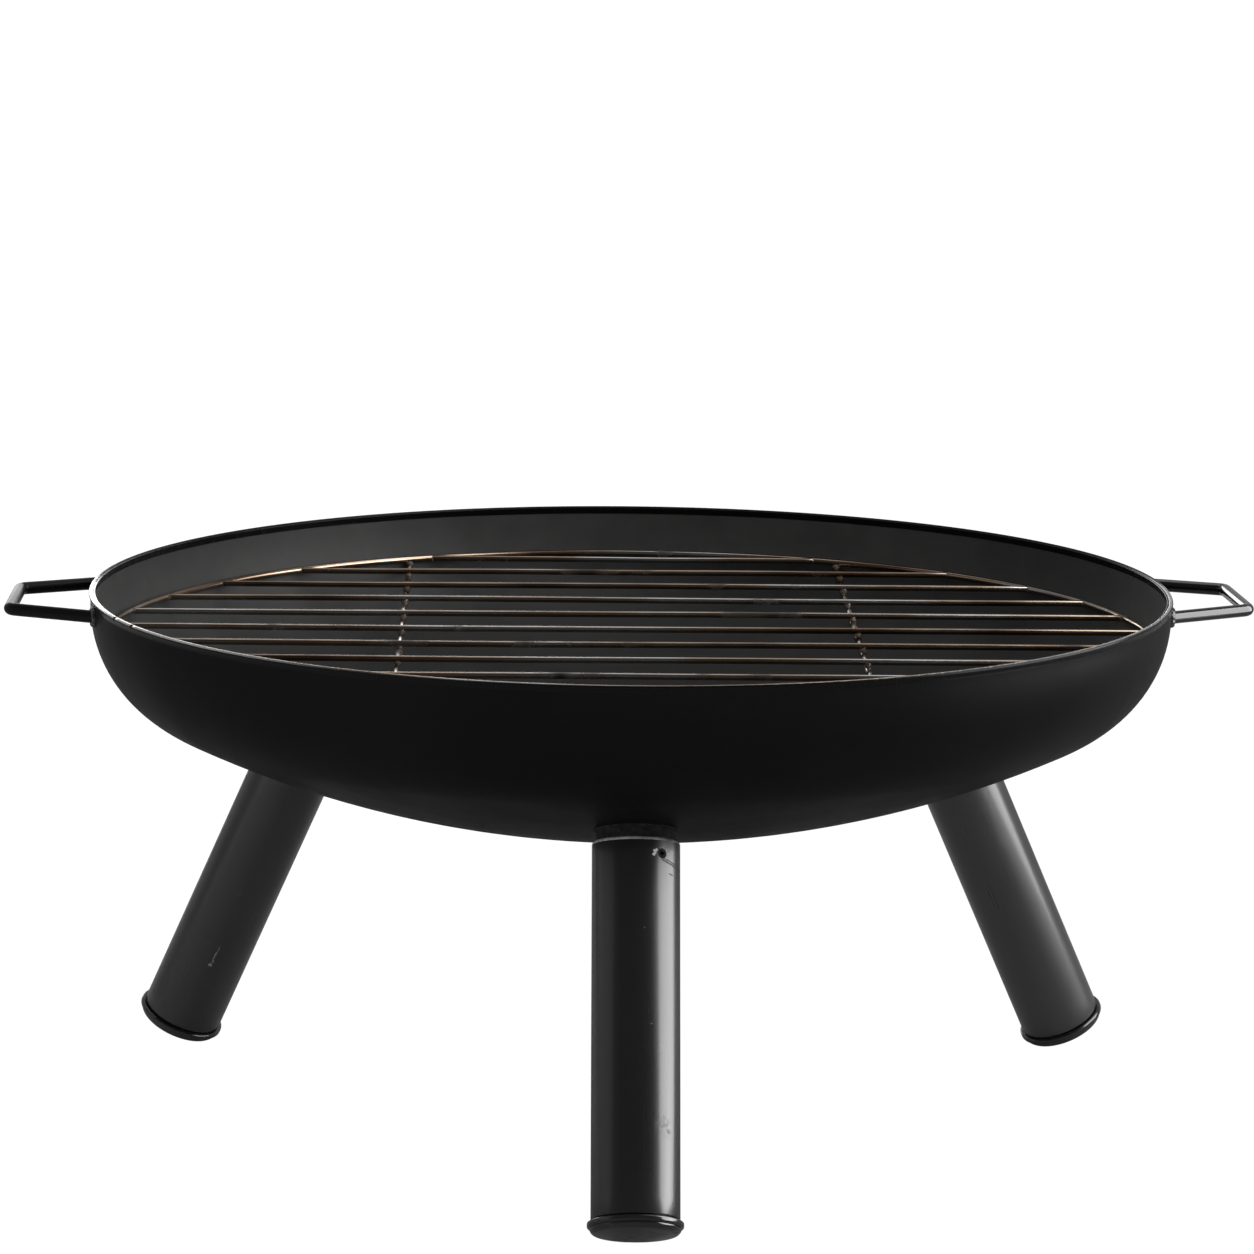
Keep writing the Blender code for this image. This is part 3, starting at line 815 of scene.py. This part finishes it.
def leg_frame(azimuth):
    """Leg's own axes: origin on its centre line above the sole, +Z up the tube, +X outwards."""
    angle = math.radians(azimuth)
    reach = LEG_FOOT_RADIUS - FOOT_HEIGHT * math.tan(LEG_TILT)
    origin = AXIS + Vector((reach * math.cos(angle), reach * math.sin(angle), FOOT_HEIGHT))
    turn = Matrix.Rotation(angle, 4, "Z") @ Matrix.Rotation(-LEG_TILT, 4, "Y")
    return Matrix.Translation(origin) @ turn


def skin_height(leg, x, y, offset):
    """Height along the leg at which (x, y) meets the bowl's skin moved down by the offset."""
    center = leg.inverted() @ (AXIS + Vector((0.0, 0.0, DISH_CENTER)))
    reach = DISH_RADIUS + offset
    return center.z - math.sqrt(reach ** 2 - (x - center.x) ** 2 - (y - center.y) ** 2)


def tube_rows(leg, inner, outer, lip, bottom, offset, sides):
    """Rings of a tube whose top follows the bowl and whose two ends have rounded edges."""
    middle = (inner + outer) / 2
    top_out = arc_points((outer - lip, -lip), lip, 90.0, 0.0, 6)
    top_in = arc_points((inner + lip / 3, -lip / 3), lip / 3, 180.0, 90.0, 3)
    low_out = arc_points((outer - lip / 3, lip / 3), lip / 3, 0.0, -90.0, 3)
    low_in = arc_points((inner + lip / 3, lip / 3), lip / 3, -90.0, -180.0, 3)
    rows = []
    for radius, height in top_in + top_out:
        ring = []
        for angle in even_angles(sides):
            point = rim_point(angle, radius, 0.0)
            edge = rim_point(angle, middle, 0.0)
            point.z = skin_height(leg, edge.x, edge.y, offset) + height
            ring.append(point)
        rows.append(ring)
    edge = rows[-1]
    for step in range(1, TUBE_ROWS):
        part = step / TUBE_ROWS
        drop = [(bottom + lip - point.z) * part for point in edge]
        rows.append([point + Vector((0.0, 0.0, down)) for point, down in zip(edge, drop)])
    for radius, height in low_out + low_in:
        rows.append([rim_point(angle, radius, bottom + height) for angle in even_angles(sides)])
    return rows


def cut_screw_hole(tube, leg):
    """Cuts the screw hole, with a narrow bevel round it."""
    profile = [(0.0, TUBE_RADIUS + 0.004), (HOLE_FLARE + 0.004, TUBE_RADIUS + 0.004),
               (HOLE_FLARE, TUBE_RADIUS + 0.0001), (HOLE_RADIUS, TUBE_RADIUS - 0.0003),
               (HOLE_RADIUS, TUBE_RADIUS - 0.006), (0.0, TUBE_RADIUS - 0.006)]
    aim = Matrix.Translation((0.0, 0.0, SCREW_HEIGHT)) @ Matrix.Rotation(SCREW_AZIMUTH, 4, "Z")
    aim = leg @ aim @ Matrix.Rotation(math.pi / 2, 4, "Y")
    rows = turned_rows(profile, even_angles(HOLE_SIDES))
    cutter = grid_object("hole_cutter", rows, [hole_paint], aim)
    cut = tube.modifiers.new("screw_hole", "BOOLEAN")
    cut.operation = "DIFFERENCE"
    cut.solver = "EXACT"
    cut.object = cutter
    cut.material_mode = "TRANSFER"
    bpy.context.view_layer.update()
    cut_tube = tube.evaluated_get(bpy.context.evaluated_depsgraph_get())
    cut_mesh = bpy.data.meshes.new_from_object(cut_tube)
    tube.modifiers.clear()
    tube.data = cut_mesh
    cut_mesh.set_sharp_from_angle(angle=math.radians(30.0))
    store_place(cut_mesh, leg)
    bpy.data.objects.remove(cutter, do_unlink=True)


def cap_profile():
    """Foot cap: plug, rounded collar, a small groove and the shallow sole."""
    plug = TUBE_RADIUS - TUBE_WALL - 0.0003
    plug_top = COLLAR_TOP + CAP_TUBE_GAP + PLUG_LENGTH
    points = [(0.0, plug_top), (plug - PLUG_CHAMFER, plug_top), (plug, plug_top - PLUG_CHAMFER),
              (plug, COLLAR_TOP)]
    inset = COLLAR_RADIUS - COLLAR_ROUND
    points += arc_points((inset, COLLAR_TOP - COLLAR_ROUND), COLLAR_ROUND, 90.0, 0.0, 7)
    points += arc_points((inset, COLLAR_BOTTOM + COLLAR_ROUND), COLLAR_ROUND, 0.0, -80.0, 6)
    edge = SOLE_RADIUS - SOLE_ROUND
    reach = FOOT_HEIGHT + SOLE_FLAT - SOLE_ROUND
    edge_z = -(reach - edge * math.sin(LEG_TILT)) / math.cos(LEG_TILT)
    points.append((SOLE_RADIUS - CAP_GROOVE, COLLAR_BOTTOM + 0.0001))
    points.append((SOLE_RADIUS - CAP_GROOVE, COLLAR_BOTTOM - 0.0002))
    crown_z = edge_z + math.sqrt((CROWN_RADIUS - SOLE_ROUND) ** 2 - edge ** 2)
    crown_edge = math.degrees(math.asin(edge / (CROWN_RADIUS - SOLE_ROUND)))
    points += arc_points((edge, edge_z), SOLE_ROUND, -20.0, crown_edge - 90.0, 12)
    crown = arc_points((0.0, crown_z), CROWN_RADIUS, crown_edge - 90.0, -90.0, 10)
    return points + crown[1:-1] + [(0.0, crown_z - CROWN_RADIUS)]


def make_leg(side, azimuth, paint):
    """One leg: tube, socket with its weld, and foot cap. The screw is the CAD node."""
    leg = leg_frame(azimuth)
    rows = tube_rows(leg, TUBE_RADIUS - TUBE_WALL, TUBE_RADIUS, TUBE_LIP, COLLAR_TOP + CAP_TUBE_GAP,
                     TUBE_TOP_GAP, LEG_SIDES)
    bands = [1] * LIP_BANDS + [0] * (len(rows) - LIP_BANDS)
    tube = grid_object("leg_%s_fine" % side, rows, [paint, lip_painted_highlight], leg, closed=True,
                       bands=bands)
    cut_screw_hole(tube, leg)
    on_body(tube, "pit", "black_leg_steel", "leg_" + side)

    rows = tube_rows(leg, SOCKET_RADIUS - SOCKET_WALL, SOCKET_RADIUS, SOCKET_LIP, SOCKET_BOTTOM,
                     SOCKET_TOP_GAP, LEG_SIDES)
    socket = grid_object("leg_socket_%s_fine" % side, rows, [weld_paint], leg, closed=True)
    on_body(socket, "pit", "black_steel", "leg_socket_" + side)

    loop = []
    for angle in even_angles(SOCKET_BEAD_STEPS):
        point = rim_point(angle, SOCKET_RADIUS + 0.0001, 0.0)
        point.z = skin_height(leg, point.x, point.y, 0.0)
        loop.append(point)
    bead = weld_ring("leg_socket_%s_weld" % side, loop, SOCKET_BEAD, weld_paint, leg,
                     SOCKET_BEAD_RIPPLES)
    on_body(bead, "pit", "black_steel")

    cap = grid_object("foot_cap_%s_fine" % side, turned_rows(cap_profile(), even_angles(LEG_SIDES)),
                      [cap_plastic], leg, sharp=50.0)
    on_body(cap, "pit", "black_plastic", "foot_cap_" + side)


# ---------------------------------------------------------------- grate

def make_ring():
    """The outer wire, a little uneven as a hand-closed ring is."""
    path = []
    for angle in even_angles(240):
        turn = math.radians(angle)
        spot = Vector((math.cos(turn) * 1.7, math.sin(turn) * 1.7, 9.1))
        radius = RING_RADIUS - RING_UNEVEN * (0.5 + 0.5 * noise.noise(spot))
        height = GRATE_HEIGHT + RING_UNEVEN * noise.noise(spot * 1.9)
        path.append(rim_point(angle, radius, height))
    rows = swept_rows(path, lambda index, turn: RING_WIRE, 20, closed=True)
    ring = grid_object("grate_ring_fine", rows, [wire_steel], closed=True)
    on_body(ring, "grate", "grate_wire", "grate_ring")


def wire_path(low, high, along, seed):
    """Centre line of a straight wire through the box, with a faint bow and wander."""
    center = (low + high) / 2 - AXIS
    half = (high[along] - low[along]) / 2
    path = []
    for index in range(WIRE_STEPS + 1):
        part = 2.0 * index / WIRE_STEPS - 1.0
        point = center.copy()
        point[along] += half * part
        fade = 1.0 - part ** 4
        point.z += WIRE_BOW * fade * noise.noise(Vector((part * 1.6, seed, 0.3)))
        point[1 - along] += WIRE_WANDER * fade * noise.noise(Vector((part * 1.4, seed, 7.7)))
        path.append(point)
    return path


def make_wires():
    """The straight bars and the two cross bars below them; returns their centre lines."""
    paths = {}
    for seed, name in enumerate(BAR_NAMES + CROSS_NAMES):
        low, high = (Vector(corner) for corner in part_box(name))
        along = 0 if name in BAR_NAMES else 1
        paths[name] = wire_path(low, high, along, seed * 3.7)
        radius = BAR_WIRE if along == 0 else CROSS_WIRE
        wire = rod_object(name + "_fine", paths[name], radius, wire_steel, sides=20)
        on_body(wire, "grate", "grate_wire", name)
    return paths


def add_nub(shape, center, size, seed):
    """One lumpy spot of weld metal."""
    made = bmesh.ops.create_icosphere(shape, subdivisions=3, radius=1.0)
    for vertex in made["verts"]:
        lump = 1.0 + 0.22 * noise.noise(vertex.co * 1.7 + Vector((seed, 0.0, 0.0)))
        vertex.co = center + Vector([vertex.co[axis] * size[axis] * lump for axis in range(3)])


def nearest_point(path, along, value):
    """The point of a path whose coordinate along an axis is nearest the value."""
    return min(path, key=lambda point: abs(point[along] - value))


def make_grate_welds(paths):
    """Spot welds where wires cross, and where the wires end at the ring."""
    shape = bmesh.new()
    seed = 0.0
    for cross in CROSS_NAMES:
        for bar in BAR_NAMES:
            across = nearest_point(paths[cross], 1, paths[bar][WIRE_STEPS // 2].y)
            if abs(across.x) < abs(paths[bar][0].x):
                over = nearest_point(paths[bar], 0, across.x)
                middle = Vector((across.x, over.y, (across.z + over.z) / 2))
                add_nub(shape, middle, CROSSING_NUB, seed)
                seed += 1.3
    for name, path in paths.items():
        for end in (path[0], path[-1]):
            outward = Vector((end.x, end.y, 0.0)).normalized()
            middle = end + outward * END_NUB_SHIFT
            middle.z = (end.z + GRATE_HEIGHT) / 2
            add_nub(shape, middle, END_NUB, seed)
            seed += 1.3
    welds = finish_object("grate_welds", shape, [wire_weld], AT_AXIS, 60.0)
    on_body(welds, "grate", "grate_wire")


# ---------------------------------------------------------------- studio

def empty_tree(owner):
    """The owner's node tree, cleared."""
    owner.use_nodes = True
    owner.node_tree.nodes.clear()
    return owner.node_tree


def grey(value):
    return (value, value, value, 1.0)


def make_floor():
    """Pale floor: as white as the backdrop where the camera sees it, plain matt in reflections."""
    mesh = bpy.data.meshes.new("floor")
    size = FLOOR_HALF
    corners = [(-size, -size, 0), (size, -size, 0), (size, size, 0), (-size, size, 0)]
    mesh.from_pydata(corners, [], [(0, 1, 2, 3)])
    floor = bpy.data.objects.new("floor", mesh)
    bpy.context.scene.collection.objects.link(floor)
    material = bpy.data.materials.new("studio_floor")
    tree = empty_tree(material)
    link = tree.links.new
    output = add_node(tree, "OutputMaterial")
    path = add_node(tree, "LightPath")
    seen_matt = add_node(tree, "BsdfDiffuse", {"Color": grey(FLOOR_SEEN_MATT)})
    glow = add_node(tree, "Emission", {"Strength": FLOOR_GLOW})
    seen = add_node(tree, "MixShader", {"Fac": FLOOR_GLOW_SHARE})
    matt = add_node(tree, "BsdfDiffuse", {"Color": grey(FLOOR_BOUNCE)})
    chosen = add_node(tree, "MixShader")
    link(seen_matt.outputs[0], seen.inputs[1])
    link(glow.outputs[0], seen.inputs[2])
    link(path.outputs["Is Camera Ray"], chosen.inputs["Fac"])
    link(matt.outputs[0], chosen.inputs[1])
    link(seen.outputs[0], chosen.inputs[2])
    link(chosen.outputs[0], output.inputs["Surface"])
    mesh.materials.append(material)


def make_world():
    """Pale behind the object and dim in front of it, as in a room with a lit backdrop."""
    world = bpy.data.worlds.new("studio")
    bpy.context.scene.world = world
    tree = empty_tree(world)
    link = tree.links.new
    output = add_node(tree, "OutputWorld")
    place = add_node(tree, "TexCoord")
    parts = add_node(tree, "SeparateXYZ")
    back = smooth_range(tree, *WORLD_TURN, WORLD_FRONT, WORLD_BACK)
    path = add_node(tree, "LightPath")
    choose = add_node(tree, "Mix", {"B": 1.0})
    background = add_node(tree, "Background", {"Color": grey(1.0)})
    link(place.outputs["Generated"], parts.inputs[0])
    link(parts.outputs["Y"], back.inputs["Value"])
    link(path.outputs["Is Camera Ray"], choose.inputs["Factor"])
    link(back.outputs["Result"], choose.inputs["A"])
    link(choose.outputs["Result"], background.inputs["Strength"])
    link(background.outputs[0], output.inputs["Surface"])


def soft_light(name, azimuth, elevation, distance, size, radiance, matt=True, shiny=True):
    """Rectangular soft box that faces the bowl; azimuth 0 is in front and 90 to the right.

    Matt and shiny say which surfaces it reaches.
    """
    light = bpy.data.lights.new(name, "AREA")
    light.shape = "RECTANGLE"
    light.size, light.size_y = size
    light.energy = radiance * math.pi * size[0] * size[1]
    turn, rise = math.radians(azimuth), math.radians(elevation)
    way = Vector((math.sin(turn) * math.cos(rise), -math.cos(turn) * math.cos(rise),
                  math.sin(rise)))
    obj = bpy.data.objects.new(name, light)
    obj.location = AXIS + Vector((0.0, 0.0, LIGHTS_AIM_HEIGHT)) + way * distance
    obj.rotation_euler = way.to_track_quat("Z", "Y").to_euler()
    obj.visible_camera = False
    obj.visible_diffuse = matt
    obj.visible_glossy = shiny
    bpy.context.scene.collection.objects.link(obj)


def make_camera():
    """Long lens from the front, a touch to the left, looking slightly down."""
    camera = bpy.data.cameras.new("camera")
    camera.sensor_width = 36.0
    camera.lens = CAMERA_LENS
    camera.clip_end = 100.0
    obj = bpy.data.objects.new("camera", camera)
    bpy.context.scene.collection.objects.link(obj)
    azimuth = math.radians(-90.0 - CAMERA_LEFT)
    eye = AXIS + Vector((CAMERA_DISTANCE * math.cos(azimuth), CAMERA_DISTANCE * math.sin(azimuth),
                         RIM_HEIGHT + CAMERA_RISE))
    heading = azimuth + math.pi - math.radians(CAMERA_YAW)
    pitch = math.radians(CAMERA_PITCH)
    forward = Vector((math.cos(heading) * math.cos(pitch), math.sin(heading) * math.cos(pitch),
                      -math.sin(pitch)))
    level = Vector((math.sin(heading), -math.cos(heading), 0.0))
    roll = math.radians(CAMERA_ROLL)
    right = level * math.cos(roll) + level.cross(forward) * math.sin(roll)
    up = right.cross(forward)
    turn = Matrix((right, up, -forward)).transposed().to_4x4()
    obj.matrix_world = Matrix.Translation(eye) @ turn
    bpy.context.scene.camera = obj


outside_paint = bowl_outside_look()
inside_paint = bowl_inside_look()
rim_paint = rim_look()
handle_paints = {"right_handle": handle_look("right_handle_paint", 0.12, 0.80, 0.45),
                 "left_handle": handle_look("left_handle_paint", 0.32, 0.15, 0.0)}
lip_painted_highlight = lip_look()
# The sockets and their welds get a black a little lighter than the bowl's outside paint: painted
# light that offsets the shade in the narrow gap under the bowl.
weld_paint = weld_look("weld_paint", (0.0125, 0.0125, 0.0125), 0.60, 0.045)
handle_weld = weld_look("handle_weld_paint", (0.012, 0.012, 0.013), 0.17, 0.9)
wire_weld = weld_look("wire_weld_steel", (0.20, 0.16, 0.13), 0.40)
cap_plastic = cap_look()
wire_steel = wire_look()
hole_paint = weld_look("screw_hole_paint", (0.11, 0.11, 0.11), 0.20)
screw_paint = screw_look()
# All three legs wear the same paint. Their different shades (0.011 front, 0.017 back left, 0.034
# back right) and bare-mark tones (0.96 front, 0.22 back) are painted light and shade for how the
# lamps fall on each leg.
leg_paints = {
    "front": leg_look(
        "leg_paint_front", 0.011, 0.96,
        [(by_screw(25.0, 0.0006), 0.0010, 0.0003), (by_screw(22.5, -0.0010), 0.0009, 0.0003),
         # These two thin light strokes, above and to the right of the screw hole, are a painted
         # highlight: a crescent of light on the hole's edge.
         (by_screw(33.0, 0.0030), by_screw(39.0, 0.0026), 0.00015, 0.0002),
         (by_screw(41.7, 0.0019), by_screw(42.3, -0.0012), 0.00020, 0.0002),
         (on_tube(11.0, 0.1190), 0.0002, 0.0001), (on_tube(20.0, 0.0685), 0.0002, 0.0001)],
        [(on_tube(37.0, 0.0160), 0.0020, 0.0040), (on_tube(44.0, 0.0120), 0.0010, 0.0030)],
        scratch_round((35.0, -0.0034), (72.0, -0.0072), 0.00030)
        + scratch_round((38.0, -0.0025), (80.0, -0.0064), 0.00014)
        + [(by_screw(48.0, -0.0102), by_screw(54.0, -0.0106), 0.00016, 0.0002)]),
    "back_left": leg_look(
        "leg_paint_back_left", 0.017, 0.22,
        [(on_tube(126.0, 0.0290), on_tube(125.0, 0.0240), 0.00015, 0.0002),
         (on_tube(125.0, 0.0240), on_tube(124.0, 0.0160), 0.0003, 0.0003),
         # The light dots at heights 0.153 and 0.1555 are painted glints, and the dark stroke near
         # 0.152 to 0.154 in the scratch list is painted shade: together they stand in for this
         # leg's screw hole.
         (on_tube(124.0, 0.0150), 0.0007, 0.0003), (on_tube(121.0, 0.1530), 0.0003, 0.0002),
         (on_tube(127.0, 0.1555), 0.0003, 0.0002)],
        [(on_tube(118.0, 0.0640), 0.0012, 0.0020)],
        # Painted shade standing in for the dark opening of the screw hole.
        [(on_tube(118.0, 0.1535), on_tube(131.0, 0.1515), 0.0009, 0.0005)]),
    "back_right": leg_look(
        "leg_paint_back_right", 0.034, 0.22, [], [(on_tube(-95.0, 0.1000), 0.0012, 0.0030)], []),
}

make_bowl()
for handle_name, handle_azimuth in HANDLE_AZIMUTHS.items():
    make_handle(handle_name, handle_azimuth)
for leg_side, leg_azimuth in LEG_AZIMUTHS.items():
    make_leg(leg_side, leg_azimuth, leg_paints[leg_side])
make_ring()
make_grate_welds(make_wires())
for leg_side in LEG_AZIMUTHS:
    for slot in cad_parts["leg_screw_" + leg_side].material_slots:
        slot.material = screw_paint

make_floor()
make_world()
soft_light("key_right", 84.0, 20.0, 1.15, (1.08, 1.05), 5.0, matt=False)
soft_light("key_right_matt", 84.0, 20.0, 1.15, (1.08, 1.05), 3.4, shiny=False)
soft_light("low_strip_right", 68.0, -2.5, 0.76, (0.32, 0.17), 1.4)
soft_light("high_right", 88.0, 64.0, 1.30, (0.80, 0.50), 3.2, matt=False)
soft_light("fill_low_left", -65.0, 1.0, 1.8, (2.2, 0.30), 3.6, shiny=False)
soft_light("fill_front", 0.0, 6.0, 2.2, (2.4, 0.6), 2.1, shiny=False)
soft_light("fill_left", -90.0, 22.0, 2.6, (2.2, 1.8), 0.22)
soft_light("back_left", -164.0, 11.0, 2.2, (1.2, 0.55), 3.0)
soft_light("back_right", 174.0, 3.0, 2.2, (0.5, 0.35), 2.5, matt=False)
soft_light("top", 180.0, 70.0, 1.9, (1.6, 1.2), 0.8)
make_camera()
bpy.context.scene.view_settings.view_transform = "Standard"
bpy.context.scene.view_settings.look = "None"
